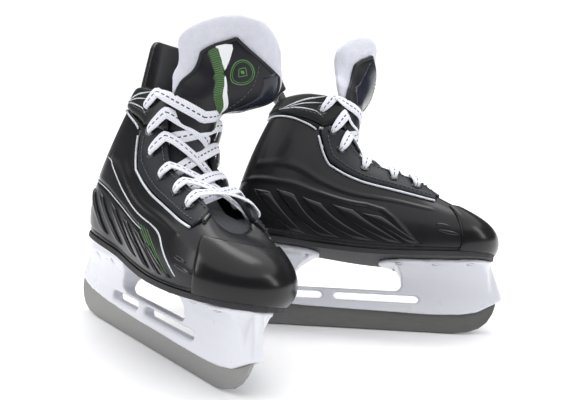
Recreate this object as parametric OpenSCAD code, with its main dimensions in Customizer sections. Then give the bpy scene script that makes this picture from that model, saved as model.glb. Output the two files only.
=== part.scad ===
// A pair of hockey ice skates, shown as they lie: both on their blades, rolled to the left.
// Each skate is drawn in its own frame, toe along +X, up +Z, blade edge on z = 0, for the right
// foot with its outer side at -Y. The left skate is its mirror image. Lengths in millimetres.

/* [Runner] */
// Thickness of the steel
steel_t = 3; // [2.5:0.1:4]

/* [Holder] */
// Width of the rail that grips the steel
rail_w = 11; // [9:0.5:14]
// Width of the front flange under the sole
front_flange_w = 54; // [46:1:58]
// Width of the rear flange under the heel
rear_flange_w = 42; // [36:1:48]
// Thickness of the flanges
flange_t = 4; // [3:0.5:5]
// Radius of a rivet head
rivet_r = 3.6; // [2.5:0.1:4.5]

/* [Boot] */
// Height of the sole above the ice at the ball of the foot
sole_h = 65; // [62:1:70]
// How much higher the heel stands than the ball of the foot
heel_rise = 11; // [8:1:14]
// Thickness of the outsole
outsole_t = 4; // [3:0.5:5]
// Wall of the moulded shell
shell_t = 3.5; // [2.5:0.25:4.5]
// How far the toe bends towards the inner side
toe_in = 6; // [0:1:10]

/* [Closure] */
// Radius of an eyelet's flange
eyelet_r = 4.6; // [4:0.1:5.5]
// Radius of the hole in an eyelet
eyelet_hole_r = 2.5; // [2.2:0.1:3]
// Width of the flat lace
lace_w = 9; // [7:0.5:10]
// Thickness of the flat lace
lace_t = 1.8; // [1.4:0.1:2.4]

/* [Tongue] */
// Width of the tongue at its top
tongue_w = 98; // [86:1:104]
// Turn of both tongues about the upright, towards the same side
tongue_turn = 16; // [0:1:20]
// Shift of the top of both tongues, towards the same side
tongue_shift = 19; // [0:1:22]

/* [Tendon guard] */
// Lean of the right guard, forwards from the upright
right_guard_lean = 3; // [-40:1:4]
// Lean of the left guard, forwards from the upright
left_guard_lean = -28; // [-40:1:4]

/* [Arrangement] */
// Heel of the right skate on the floor
right_place = [-184.29, 30.88]; // [-240:0.01:240]
// Heading of the right skate's toe
right_heading = -51.3; // [-70:0.1:-40]
// Roll of the right skate to its left
right_roll = 13.5; // [5:0.5:16]
// Heel of the left skate on the floor
left_place = [-64.29, 13.88]; // [-240:0.01:240]
// Heading of the left skate's toe
left_heading = -3.3; // [-10:0.1:10]
// Roll of the left skate to its left
left_roll = 23; // [15:0.5:25]

/* [Hidden] */
$fn = 32;
FEET = ["right", "left"];
PIECES = [
    "boot_shell", "toe_cap", "outsole", "insole_board", "footbed", "ankle_liner", "collar",
    "outer_facing", "inner_facing", "piping", "outer_ribs", "inner_ribs", "eyelets", "lace",
    "tongue_base", "tongue_felt", "tongue_face", "tendon_guard", "holder", "rivets",
    "rivet_washers", "runner", "runner_bolts", "barrel_nuts"
];
gap = 0.3;

// ---------- boot surface ----------
// The upper is a net of columns, each a curve from the sole edge to the top edge. Column 0 is
// the middle of the toe and column 10 the middle of the heel. A row holds the column's foot
// [x, y], its two pull points and its top.
COLUMNS = [
    [[243, 0], [254, 0, 85], [241, 0, 105], [193, 0, 112]],
    [[236, 22], [247, 27, 85], [232, 23, 105], [192, 9, 113.5]],
    [[217, 37], [226, 46, 84], [214, 38, 107], [187, 17, 119]],
    [[187, 42], [189, 51, 84], [183, 46, 109], [174, 21, 130]],
    [[155, 40], [154, 48, 85], [156, 44, 118], [152, 22, 138]],
    [[118, 34], [112, 42, 88], [118, 43, 124], [124, 22, 150]],
    [[85, 29], [76, 41, 92], [92, 41, 135], [109, 22, 174]],
    [[58, 30], [50, 43, 98], [66, 39, 150], [103, 25, 200]],
    [[34, 28], [27, 40, 102], [45, 31, 160], [77, 32, 205]],
    [[17, 19], [11, 27, 104], [29, 22, 165], [55, 25, 203]],
    [[11, 0], [2, 0, 108], [26, 0, 165], [43, 0, 202]]
];
HEEL = len(COLUMNS) - 1;

function smooth(t) = let(c = min(1, max(0, t))) c * c * (3 - 2 * c);
function sole_z(x) = sole_h + heel_rise * smooth((155 - x) / 147) + 5 * pow(max(0, x - 155) / 97, 2);
function toe_bend(x) = toe_in * pow(max(0, x - 110) / 140, 2);
function unit(v) = v / norm(v);

// Row i of the net, counted right round the boot: positive on the inner side
function wrapped(i) = ((i + HEEL) % (2 * HEEL) + 2 * HEEL) % (2 * HEEL) - HEEL;
function sided(p, s) = [p[0], s * p[1], p[2]];
function column(i) =
    let(j = wrapped(i), s = j < 0 ? -1 : 1, row = COLUMNS[abs(j)], foot = row[0])
    [
        [foot[0], s * foot[1], sole_z(foot[0])],
        sided(row[1], s),
        sided(row[2], s),
        sided(row[3], s)
    ];
function between(a, b, c, d, t) =
    b + 0.5 * t * (c - a + t * (2 * a - 5 * b + 4 * c - d + t * (3 * (b - c) + d - a)));
function skin(u, v) =
    let(
        i = floor(u),
        t = u - i,
        a = column(i - 1),
        b = column(i),
        c = column(i + 1),
        d = column(i + 2),
        q = [for (k = [0:3]) between(a[k], b[k], c[k], d[k], t)],
        w = 1 - v,
        p = w * w * w * q[0] + 3 * w * w * v * q[1] + 3 * w * v * v * q[2] + v * v * v * q[3]
    )
    [p[0], p[1] + toe_bend(p[0]), p[2]];
function outward(u, v) =
    let(
        h = 0.02,
        du = skin(u + h, v) - skin(u - h, v),
        dv = skin(u, min(1, v + h)) - skin(u, max(0, v - h))
    )
    unit(cross(du, dv));
// A point at a height above the boot's outer surface
function over(u, v, height) = skin(u, v) + height * outward(u, v);

// Value read from a short list of [place, value] pairs
function reading(list, x) =
    let(n = [for (k = [0:len(list) - 2]) if (x >= list[k][0]) k], k = n[len(n) - 1])
    let(a = list[k], b = list[k + 1])
    a[1] + (b[1] - a[1]) * min(1, (x - a[0]) / (b[0] - a[0]));

// Where the shell ends and the facing or collar begins
SHELL_TOP = [
    [0, 1], [2.2, 1], [2.7, 0.73], [4, 0.72], [5, 0.74], [6, 0.72], [6.5, 0.76], [7, 0.81],
    [8, 0.84], [9, 0.86], [10, 0.87]
];
// Where the facing ends and the collar begins
SEAM = [[0, 1], [6, 1], [7, 0.83], [8, 0.84], [9, 0.86], [10, 0.87]];
seam_v = 0.006;
function folded(u) = abs(wrapped(floor(u)) + u - floor(u));
function shell_top(u) = reading(SHELL_TOP, folded(u));
function seam(u) = reading(SEAM, folded(u));

// ---------- solids laid on the boot surface ----------
function strip_faces(n, m, loop) =
    let(rows = loop ? n : n - 1, o = n * m)
    concat(
        [for (i = [0:rows - 1]) for (j = [0:m - 2])
            let(a = i * m + j, b = ((i + 1) % n) * m + j) each [[a, a + 1, b + 1], [a, b + 1, b]]],
        [for (i = [0:rows - 1]) for (j = [0:m - 2])
            let(a = o + i * m + j, b = o + ((i + 1) % n) * m + j)
            each [[a, b + 1, a + 1], [a, b, b + 1]]],
        [for (i = [0:rows - 1]) for (j = [0, m - 1])
            let(a = i * m + j, b = ((i + 1) % n) * m + j)
            each j == 0
                ? [[a, b, o + b], [a, o + b, o + a]]
                : [[a, o + b, b], [a, o + a, o + b]]],
        loop ? [] : [for (i = [0, n - 1]) for (j = [0:m - 2])
            let(a = i * m + j)
            each i == 0
                ? [[a, o + a, o + a + 1], [a, o + a + 1, a + 1]]
                : [[a, o + a + 1, o + a], [a, a + 1, o + a + 1]]]
    );
module panel(places, low, high, inside, outside, steps, loop = false) {
    us = [for (u = places) u];
    grid = [for (u = us) for (j = [0:steps]) [u, low(u) + (high(u) - low(u)) * j / steps]];
    polyhedron(
        concat(
            [for (g = grid) over(g[0], g[1], outside)],
            [for (g = grid) over(g[0], g[1], inside)]
        ),
        strip_faces(len(us), steps + 1, loop)
    );
}
// A slanted bar on the surface, from one corner pair to the other
module rib(foot_u, foot_v, top_u, top_v, width_u, height) {
    cols = 2;
    rows = 5;
    grid = [for (i = [0:cols]) for (j = [0:rows])
        let(t = j / rows)
        [foot_u + (top_u - foot_u) * t + width_u * i / cols, foot_v + (top_v - foot_v) * t, i, j]];
    polyhedron(
        concat(
            [for (g = grid) over(g[0], g[1], height * (g[2] == 1 ? 1 : 0.5))],
            [for (g = grid) over(g[0], g[1], 0.4)]
        ),
        strip_faces(cols + 1, rows + 1, false)
    );
}
// A closed tube: rings of points in order along it
module tube(rings) {
    n = len(rings);
    m = len(rings[0]);
    side = [for (i = [0:n - 2]) for (j = [0:m - 1])
        let(a = i * m + j, b = i * m + (j + 1) % m)
        each [[a, b + m, b], [a, a + m, b + m]]];
    first = [for (j = [1:m - 2]) [0, j, j + 1]];
    last = [for (j = [1:m - 2]) let(o = (n - 1) * m) [o, o + j + 1, o + j]];
    polyhedron([for (r = rings) each r], concat(side, first, last));
}

// ---------- boot ----------
shell_step = 0.4;
module boot_shell()
    color("#17181b")
    panel([-HEEL:shell_step:HEEL - shell_step / 2], function(u) 0, function(u) shell_top(u),
        -shell_t, 0, 9, true);

module toe_cap()
    color("#0c0c0e")
    panel([-2.25:0.28125:2.26], function(u) 0.02, function(u) 0.8 - 0.02 * u * u, 0.5, 1.9, 6);

// Outline of the upper's foot, moved outwards by d
function sole_outline(d) = [for (u = [-HEEL:0.5:HEEL - 0.4])
    let(p = skin(u, 0), n = outward(u, 0), m = unit([n[0], n[1]])) [p[0], p[1]] + d * m];
// A band that follows the sole's side view, between two heights above it
module sole_band(low, high)
    rotate([90, 0, 0])
    linear_extrude(140, center = true)
    polygon(concat(
        [for (x = [-10:15:275]) [x, sole_z(x) + low]],
        [for (x = [275:-15:-10]) [x, sole_z(x) + high]]
    ));
module sole_layer(d, low, high)
    intersection() {
        linear_extrude(120) polygon(sole_outline(d));
        sole_band(low, high);
    }
module outsole()
    color("#4a4b4d")
    difference() {
        sole_layer(1.5, -outsole_t - 0.2, -0.2);
        rivet_bores();
        bolt_bores(head_r + 0.4);
    }
module insole_board()
    color("#8a7a62")
    difference() {
        sole_layer(-shell_t - 0.8, 0.2, 2.4);
        rivet_bores();
        bolt_bores(head_r + 0.4);
    }
module footbed() color("#2c2d31") sole_layer(-shell_t - 1.6, 3.8, 7.2);

module ankle_liner()
    color("#26272b")
    panel([5.4:0.46:14.7], function(u) 0.3, function(u) shell_top(u) - 0.03,
        -shell_t - 5.5, -shell_t - gap, 5);

module eyelet_bores(rows)
    for (e = rows) eyelet_at(e) cylinder(r = eyelet_hole_r + 0.9, h = 24, center = true);
module collar()
    color("#1d211f")
    difference() {
        panel([6.08:0.36:13.93], function(u) seam(u) + seam_v, function(u) 1, -4, 2.2, 4);
        eyelet_bores([EYELETS[0], mirrored(EYELETS[0])]);
    }
facing_t = 2;
module facing(side)
    color("#25272b")
    difference() {
        panel(
            side > 0 ? [2.4:shell_step:6.9] : [-6.8:shell_step:-2.3],
            function(u) shell_top(u) + seam_v,
            function(u) seam(u) - seam_v,
            -shell_t, facing_t, 3
        );
        eyelet_bores([for (k = [1:5]) side > 0 ? EYELETS[k] : mirrored(EYELETS[k])]);
    }
module outer_facing() facing(-1);
module inner_facing() facing(1);

// ---------- piping and ribs ----------
piping_r = 0.9;
function piping_rings(us, line, height) = [for (u = us)
    let(
        c = over(u, line(u), height),
        n = outward(u, line(u)),
        step = 0.05 * sign(us[1] - us[0]),
        ahead = over(u + step, line(u + step), height) - over(u - step, line(u - step), height),
        s = unit(cross(ahead, n))
    )
    [for (k = [0:4]) c + piping_r * (cos(72 * k) * n + sin(72 * k) * s)]];
module piping()
    color("#c9ccd2")
    for (side = [-1, 1]) {
        tube(piping_rings([for (k = [0:14]) side * (2.75 + 0.29 * k)],
            function(u) shell_top(u) - 0.018, 1));
        tube(piping_rings([for (k = [0:7]) side * (7.2 + 0.36 * k)],
            function(u) shell_top(u) - 0.012, 1));
    }
module outer_ribs()
    color("#202126")
    for (k = [0:5]) rib(-7.7 + 0.68 * k, 0.16, -8.9 + 0.68 * k, 0.6, 0.32, 2);
module inner_ribs()
    color("#202126")
    for (k = [0:5]) rib(8.1 - 0.8 * k, 0.08, 9.2 - 0.82 * k, 0.46 - 0.02 * k, 0.34, 2);

// ---------- tongue ----------
// Rows of the tongue from the toe up: its middle in side view, its width as a share of the
// widest, and the angle it curls through on each side of the middle
TONGUE = [
    [[190, 106.5], 0.42, 42], [[172, 117], 0.46, 44], [[150, 128], 0.48, 48],
    [[133, 140], 0.46, 58], [[123, 153], 0.44, 72], [[118, 172], 0.43, 78],
    [[118, 190], 0.43, 78], [[119, 204], 0.45, 74], [[121, 211], 0.76, 54],
    [[125, 222], 0.88, 46], [[129, 239], 1, 42], [[131, 253], 0.96, 42],
    [[133, 265], 0.72, 42], [[134, 273], 0.3, 42]
];
tongue_split = 7;
tongue_t = 7;
face_t = 2.4;
function tongue_row(i) =
    let(n = len(TONGUE), k = min(n - 2, floor(i)), t = i - k)
    TONGUE[k] + t * (TONGUE[k + 1] - TONGUE[k]);
// A point on the tongue: row, share of the half width, height above the middle line
function tongue_point(i, share, height, side) =
    let(
        row = tongue_row(i),
        n = len(TONGUE),
        way = unit(tongue_row(min(n - 1, i + 1))[0] - tongue_row(max(0, i - 1))[0]),
        front = [way[1], -way[0]],
        radius = row[1] * tongue_w / 2 / sin(row[2]) + height,
        p = row[0] + (height - radius * (1 - cos(row[2] * share))) * front,
        y = radius * sin(row[2] * share),
        turn = side * tongue_turn * smooth((i - tongue_split) / 3),
        shift = side * tongue_shift * smooth((i - tongue_split) / 3)
    )
    [p[0] + y * sin(turn), y * cos(turn) + shift, p[1]];
// The front of the tongue at a height, at a distance from the middle
function on_tongue(y, z) =
    let(
        i = reading([for (k = [0:len(TONGUE) - 1]) [TONGUE[k][0][1], k]], z),
        row = tongue_row(i),
        radius = row[1] * tongue_w / 2 / sin(row[2]),
        drop = radius - sqrt(max(1, radius * radius - y * y)),
        way = unit(tongue_row(i + 1)[0] - tongue_row(max(0, i - 1))[0])
    )
    [row[0][0] - drop * way[1], y, row[0][1] + drop * way[0]];
// The left skate is mirrored, so its tongue turns the other way in its own frame
function turn_of(foot) = foot == "right" ? 1 : -1;
module tongue_slab(rows, widths, low, high, side) {
    cols = 8;
    grid = [for (c = [0:cols]) for (i = rows) [i, widths * (2 * c / cols - 1)]];
    polyhedron(
        concat(
            [for (g = grid) tongue_point(g[0], g[1], high, side)],
            [for (g = grid) tongue_point(g[0], g[1], low, side)]
        ),
        strip_faces(cols + 1, len(rows), false)
    );
}
module tongue_base(foot)
    color("#15161a")
    tongue_slab([for (i = [0:tongue_split]) i - (i == tongue_split ? 0.02 : 0)], 1, -tongue_t, 0,
        turn_of(foot));
module tongue_felt(foot)
    color("#e1e3ee")
    tongue_slab([for (i = [tongue_split:len(TONGUE) - 1]) i + (i == tongue_split ? 0.02 : 0)], 1,
        -tongue_t - 2, 0, turn_of(foot));
module tongue_face(foot)
    color("#121316")
    tongue_slab([for (i = [tongue_split:len(TONGUE) - 2]) i + (i == tongue_split ? 0.02 : 0)], 0.8,
        0.45, face_t, turn_of(foot));

// ---------- eyelets and lace ----------
// Places of the eyelets on the net, top first, on the inner side
EYELETS = [[7.35, 0.91], [6.55, 0.87], [5.85, 0.86], [4.85, 0.88], [4.05, 0.87], [3.25, 0.86]];
function mirrored(e) = [-e[0], e[1]];
module facing_normal(n) {
    rotate([0, acos(n[2]), atan2(n[1], n[0])]) children();
}
module eyelet_at(e) translate(skin(e[0], e[1])) facing_normal(outward(e[0], e[1])) children();
module eyelet(height, depth)
    translate([0, 0, height])
    rotate_extrude()
    polygon([
        [eyelet_hole_r, -depth], [eyelet_hole_r + 0.6, -depth], [eyelet_hole_r + 0.6, 0.1],
        [eyelet_r, 0.1], [eyelet_r, 0.5], [eyelet_r - 0.8, 1.1], [eyelet_hole_r + 0.5, 1.1],
        [eyelet_hole_r, 0.6]
    ]);
module eyelets()
    color("#1b1b1e")
    for (k = [0:5]) for (e = [EYELETS[k], mirrored(EYELETS[k])])
        eyelet_at(e) eyelet(k == 0 ? 2.2 : facing_t, k == 0 ? 6 : 5.3);

// The lace runs through the eyelets in order, tucked in beside the tongue at both ends. A point
// of its route holds the place, how flat the lace is there and the direction of its width.
function hole(k, side) = side > 0 ? EYELETS[k] : mirrored(EYELETS[k]);
top_height = 5.2;
function toeward(u, v) =
    let(d = skin(u - 0.02 * sign(u), v) - skin(u + 0.02 * sign(u), v))
    unit(d);
function out_of_hole(k, side) =
    let(e = hole(k, side), w = toeward(e[0], e[1]))
    [
        [over(e[0], e[1], -4.3), 0, w],
        [over(e[0], e[1], top_height - 1.6), 0, w],
        [over(e[0], e[1] + 0.04, top_height), 0.5, w],
        [over(e[0], 1, top_height - 1), 1, w]
    ];
// Lifts a point of a straight stretch until it clears the tongue
function lifted(p, up, least, room) =
    let(t = on_tongue(p[1], p[2]))
    p + up * max(least, (t - p) * up + room);
function crossing(ka, kb, side, least) =
    let(
        a = hole(ka, side),
        b = hole(kb, -side),
        start = out_of_hole(ka, side),
        from = start[3][0],
        to = over(b[0], 1, -shell_t - 1.2),
        up = unit(outward(a[0], 1) + outward(b[0], 1)),
        w = unit(cross(up, (to - from) * side)),
        room = ka == 0 ? 4.2 : 2.2
    )
    concat(
        start,
        [for (t = [0.2, 0.38, 0.56, 0.74, 0.88])
            [lifted(from + t * (to - from), up, least * sin(180 * t), room), 1, w]],
        [[to, 1, w], [over(b[0], b[1] + 0.03, -shell_t - 1.4), 0.5, toeward(b[0], b[1])]]
    );
// The lowest stretch lies on top, from one last eyelet straight over to the other
function last_bar() =
    let(
        near = out_of_hole(5, 1),
        far = out_of_hole(5, -1),
        mid = (near[3][0] + far[3][0]) / 2
    )
    concat(near, [[mid + [1.5, 0, 4], 1, [1, 0, 0]]], [for (p = [3:-1:0]) far[p]]);
LACE_ROUTE = concat(
    [for (k = [0:4]) each crossing(k, k + 1, k % 2 == 0 ? -1 : 1, 4)],
    last_bar(),
    [for (k = [4:-1:0])
        let(way = crossing(k, k + 1, k % 2 == 0 ? 1 : -1, 2))
        each [for (p = [len(way) - 1:-1:0]) way[p]]]
);
function lace_ring(i) =
    let(
        n = len(LACE_ROUTE),
        p = LACE_ROUTE[i][0],
        along = unit(LACE_ROUTE[min(n - 1, i + 1)][0] - LACE_ROUTE[max(0, i - 1)][0]),
        up = unit(cross(along, LACE_ROUTE[i][2])),
        side = cross(up, along),
        flat = LACE_ROUTE[i][1],
        w = 1.9 + (lace_w / 2 - 1.9) * flat,
        t = 1.9 + (lace_t / 2 - 1.9) * flat
    )
    [for (k = [0:7]) p + w * cos(45 * k + 22.5) * side + t * sin(45 * k + 22.5) * up];
module lace()
    color("#eef0f6")
    tube([for (i = [0:len(LACE_ROUTE) - 1]) lace_ring(i)]);

// ---------- tendon guard ----------
guard_w = 40;
guard_h = 42;
guard_t = 5;
guard_bend = 30;
guard_foot = [39.5, 205.6];
module tendon_guard(foot)
    color("#101012")
    translate([guard_foot[0], 0, guard_foot[1]])
    rotate([0, foot == "right" ? right_guard_lean : left_guard_lean, 0])
    intersection() {
        translate([guard_bend, 0, 0])
        difference() {
            cylinder(r = guard_bend, h = guard_h, $fn = 64);
            translate([0, 0, -1]) cylinder(r = guard_bend - guard_t, h = guard_h + 2, $fn = 64);
        }
        rotate([90, 0, 90])
        linear_extrude(guard_bend * 0.8)
        union() {
            translate([-guard_w / 2, 0]) square([guard_w, guard_h - 9]);
            translate([-guard_w / 2 + 9, 0]) square([guard_w - 18, guard_h]);
            for (s = [-1, 1]) translate([s * (guard_w / 2 - 9), guard_h - 9]) circle(r = 9);
        }
    }

// ---------- holder and runner ----------
// Lower edge of the holder, which is also the upper edge of the steel that shows
HOLDER_EDGE = [[-12, 31], [-3, 26], [12, 22], [40, 19], [80, 17], [130, 16], [190, 15],
    [215, 16], [231, 19], [244, 26], [253, 31]];
rail_top = 34;
RAIL_SIDE = concat(
    HOLDER_EDGE,
    [[249, 44], [242, 64], [150, 64], [158, 57], [163, 47], [164, 38], [160, rail_top],
    [72, rail_top], [66, 37], [66, 42], [73, 53], [88, 64], [88, 80], [4, 80], [0, 62],
    [-8, 42]]
);
SLOTS = [[50, 94], [104, 180]];
SLOT_Z = [24.2, 31];
FRONT_FLANGE = [143, 242];
REAR_FLANGE = [4, 90];
// Front view of the towers: narrow rail, flaring out to the flanges
TOWER_FRONT = [[0, 10], [rail_w / 2, 10], [rail_w / 2, 33], [7, 39], [9, 46], [13, 53], [19, 60],
    [22, 64], [22, 82], [0, 82]];
module half_front() polygon(TOWER_FRONT);
module tower_body()
    intersection() {
        rotate([90, 0, 0]) linear_extrude(70, center = true) polygon(RAIL_SIDE);
        union() {
            translate([-40, -rail_w / 2, 0]) cube([340, rail_w, 90]);
            intersection() {
                translate([-40, 0, 0])
                rotate([90, 0, 90])
                linear_extrude(340)
                union() {
                    half_front();
                    mirror([1, 0]) half_front();
                }
                linear_extrude(100)
                union() {
                    flange_outline(FRONT_FLANGE[0] + 4, FRONT_FLANGE[1] - 1, front_flange_w - 6, 20);
                    flange_outline(REAR_FLANGE[0], REAR_FLANGE[1] - 2, rear_flange_w - 4, 14);
                }
            }
        }
        sole_band(-80, -outsole_t - 0.4);
    }
module flange_outline(x0, x1, w, nose)
    union() {
        translate([x0 + w / 2, -w / 2]) square([x1 - x0 - w / 2 - nose, w]);
        translate([x0 + w / 2, 0]) circle(d = w, $fn = 64);
        translate([x1 - nose, 0]) intersection() {
            translate([-w / 2 + nose, 0]) circle(d = w * 1.04, $fn = 64);
            translate([-1, -w / 2]) square([nose + 1, w]);
        }
    }
module flange(x0, x1, w, nose)
    intersection() {
        linear_extrude(120) flange_outline(x0, x1, w, nose);
        sole_band(-outsole_t - 0.4 - flange_t, -outsole_t - 0.4);
    }
module stadium(x0, x1, z0, z1)
    rotate([90, 0, 0])
    linear_extrude(40, center = true)
    union() {
        r = (z1 - z0) / 2;
        translate([x0 + r, z0]) square([x1 - x0 - 2 * r, z1 - z0]);
        for (x = [x0 + r, x1 - r]) translate([x, z0 + r]) circle(r = r);
    }
BOLTS_X = [32, 206];
bolt_r = 2.5;
head_r = 4.4;
nut_r = 4.5;
nut_z = 38;
function head_z(x) = sole_z(x) - outsole_t - 5;
module bolt_bores(r)
    for (x = BOLTS_X) translate([x, 0, nut_z]) cylinder(r = r, h = 60);
module nut_bores(r, l)
    for (x = BOLTS_X) translate([x, 0, nut_z]) rotate([90, 0, 0]) cylinder(r = r, h = l, center = true);
RIVETS = concat(
    [for (x = [160, 192, 222]) for (s = [-1, 1]) [x, s * 21]],
    [for (x = [30, 56, 78]) for (s = [-1, 1]) [x, s * 15]]
);
module rivet_bores()
    for (r = RIVETS) translate([r[0], r[1], 40]) cylinder(r = 2.1, h = 60);
module holder()
    color("#eceef4")
    difference() {
        union() {
            tower_body();
            flange(FRONT_FLANGE[0], FRONT_FLANGE[1], front_flange_w, 22);
            flange(REAR_FLANGE[0], REAR_FLANGE[1], rear_flange_w, 16);
        }
        for (s = SLOTS) stadium(s[0], s[1], SLOT_Z[0], SLOT_Z[1]);
        rotate([90, 0, 0]) linear_extrude(steel_t + 0.2, center = true) polygon(STEEL_ROOM);
        bolt_bores(bolt_r + 0.2);
        for (x = BOLTS_X) translate([x, 0, head_z(x)]) cylinder(r = head_r + 0.3, h = 20);
        nut_bores(nut_r + 0.1, 9.4);
        rivet_bores();
    }

// Side view of the steel: hooked up into both towers at the bolts, straight on the ice
STEEL_TOP = [
    [-11, 31.4], [-3, 29], [10, 27], [23, 24.6], [23, 45], [41, 45], [41, 22.6], [80, 20.5],
    [130, 20], [190, 19.6], [197, 20], [197, 45], [215, 45], [215, 21], [231, 24], [242, 30],
    [246.5, 31.4]
];
STEEL_FOOT = [
    [247.5, 27], [245, 19], [240, 11], [233, 5.2], [223, 1.6], [210, 0], [28, 0], [10, 1.8],
    [0, 5.6], [-6, 11], [-10.5, 18], [-12.5, 25]
];
STEEL_ROOM = concat(
    [[-20, 31.6], [-3, 29.3], [10, 27.3], [22.8, 24.9], [22.8, 46], [41.2, 46], [41.2, 22.9],
    [80, 20.8], [130, 20.3], [190, 19.9], [196.8, 20.3], [196.8, 46], [215.2, 46], [215.2, 21.4],
    [231, 24.3], [242, 30.3], [256, 32]],
    [[256, 0], [-20, 0]]
);
module runner()
    color("#77787a")
    difference() {
        rotate([90, 0, 0]) linear_extrude(steel_t, center = true) polygon(concat(STEEL_TOP, STEEL_FOOT));
        // The part inside the holder is ground a little thinner
        for (s = [-1, 1])
            translate([0, s * (steel_t / 2 + 0.9), 0])
            rotate([90, 0, 0])
            linear_extrude(2, center = true)
            offset(delta = 0.5) polygon(RAIL_SIDE);
        nut_bores(nut_r + 0.1, 9.4);
        bolt_bores(bolt_r + 0.2);
    }
module runner_bolts()
    color("#8e9094")
    for (x = BOLTS_X) {
        translate([x, 0, nut_z - 3]) cylinder(r = bolt_r, h = head_z(x) - nut_z + 4);
        translate([x, 0, head_z(x) + 0.3])
        difference() {
            cylinder(r = head_r, h = 3.4);
            translate([0, 0, 1.2]) cylinder(r = 2.3, h = 4, $fn = 6);
        }
    }
module barrel_nuts()
    color("#6f7175")
    difference() {
        nut_bores(nut_r, 9);
        translate([0, 0, -10]) bolt_bores(bolt_r + 0.02);
    }
function rivet_seat(x) = sole_z(x) - outsole_t - 0.4 - flange_t;
module rivets()
    color("#b9bbc0")
    for (r = RIVETS)
        translate([r[0], r[1], rivet_seat(r[0])]) {
            translate([0, 0, -1.5]) rotate_extrude()
                polygon([[0, 0], [1.8, 0], [rivet_r - 0.6, 0.5], [rivet_r, 1.4], [0, 1.4]]);
            translate([0, 0, -0.2]) cylinder(r = 1.9, h = flange_t + outsole_t + 4);
        }
module rivet_washers()
    color("#a8aab0")
    for (r = RIVETS)
        translate([r[0], r[1], sole_z(r[0]) + 2.6])
        difference() {
            cylinder(r = 4, h = 0.8);
            translate([0, 0, -1]) cylinder(r = 1.95, h = 3);
        }

// ---------- arrangement ----------
module placed(foot) {
    right = foot == "right";
    place = right ? right_place : left_place;
    roll = right ? right_roll : left_roll;
    translate([place[0], place[1], steel_t / 2 * sin(roll)])
    rotate([-roll, 0, right ? right_heading : left_heading])
    mirror(right ? [0, 0, 0] : [0, 1, 0])
    children();
}

for (foot = FEET) {
    placed(foot) boot_shell();
    placed(foot) toe_cap();
    placed(foot) outsole();
    placed(foot) insole_board();
    placed(foot) footbed();
    placed(foot) ankle_liner();
    placed(foot) collar();
    placed(foot) outer_facing();
    placed(foot) inner_facing();
    placed(foot) piping();
    placed(foot) outer_ribs();
    placed(foot) inner_ribs();
    placed(foot) eyelets();
    placed(foot) lace();
    placed(foot) tongue_base(foot);
    placed(foot) tongue_felt(foot);
    placed(foot) tongue_face(foot);
    placed(foot) tendon_guard(foot);
    placed(foot) holder();
    placed(foot) rivets();
    placed(foot) rivet_washers();
    placed(foot) runner();
    placed(foot) runner_bolts();
    placed(foot) barrel_nuts();
}
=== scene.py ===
import math

import bpy
import numpy as np
from mathutils import Matrix, Vector


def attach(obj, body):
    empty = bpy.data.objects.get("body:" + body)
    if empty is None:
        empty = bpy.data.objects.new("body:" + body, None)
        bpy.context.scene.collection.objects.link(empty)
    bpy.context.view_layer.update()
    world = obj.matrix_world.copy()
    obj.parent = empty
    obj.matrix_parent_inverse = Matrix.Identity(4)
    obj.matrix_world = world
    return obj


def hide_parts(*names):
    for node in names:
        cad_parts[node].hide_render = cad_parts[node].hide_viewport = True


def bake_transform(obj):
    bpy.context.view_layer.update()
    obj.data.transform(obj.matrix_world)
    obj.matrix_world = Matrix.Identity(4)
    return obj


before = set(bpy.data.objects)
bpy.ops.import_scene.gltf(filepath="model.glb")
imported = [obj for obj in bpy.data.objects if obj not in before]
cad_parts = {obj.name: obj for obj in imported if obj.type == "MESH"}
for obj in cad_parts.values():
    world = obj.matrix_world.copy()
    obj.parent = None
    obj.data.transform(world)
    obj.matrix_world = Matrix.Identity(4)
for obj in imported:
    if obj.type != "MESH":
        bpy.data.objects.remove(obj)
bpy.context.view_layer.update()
scene = bpy.context.scene

# ---------- camera, floor and light ----------
# A low view from the toes, on a white table under one big soft box overhead,
# with a soft box on each side for the long highlights on the gloss.
camera = bpy.data.objects.new("camera", bpy.data.cameras.new("camera"))
scene.collection.objects.link(camera)
scene.camera = camera
camera.data.lens = 56.2
camera.data.sensor_width = 36
camera.matrix_world = Matrix((
    (0.9993, -0.0382, 0.0, -0.005294),
    (0.0073, 0.1915, -0.9815, -0.7500),
    (0.0375, 0.9807, 0.1916, 0.2614),
    (0, 0, 0, 1),
))
scene.view_settings.view_transform = "Standard"


class Value:
    """A number that varies over a surface: arithmetic on it adds Math nodes."""

    def __init__(self, finish, socket):
        self.finish, self.socket = finish, socket

    def maths(self, operation, a, b):
        made = self.finish.node("ShaderNodeMath", {"operation": operation}, {0: a, 1: b})
        return Value(self.finish, made.outputs[0])

    def __add__(self, other):
        return self.maths("ADD", self, other)

    __radd__ = __add__

    def __sub__(self, other):
        return self.maths("SUBTRACT", self, other)

    def __rsub__(self, other):
        return self.maths("SUBTRACT", other, self)

    def __mul__(self, other):
        return self.maths("MULTIPLY", self, other)

    __rmul__ = __mul__

    def over(self, least):
        return self.maths("GREATER_THAN", self, least)

    def under(self, most):
        return self.maths("LESS_THAN", self, most)

    def wave(self):
        return self.maths("SINE", self, 0)

    def size(self):
        return self.maths("ABSOLUTE", self, 0)

    def part(self):
        return self.maths("FRACT", self, 0)


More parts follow.
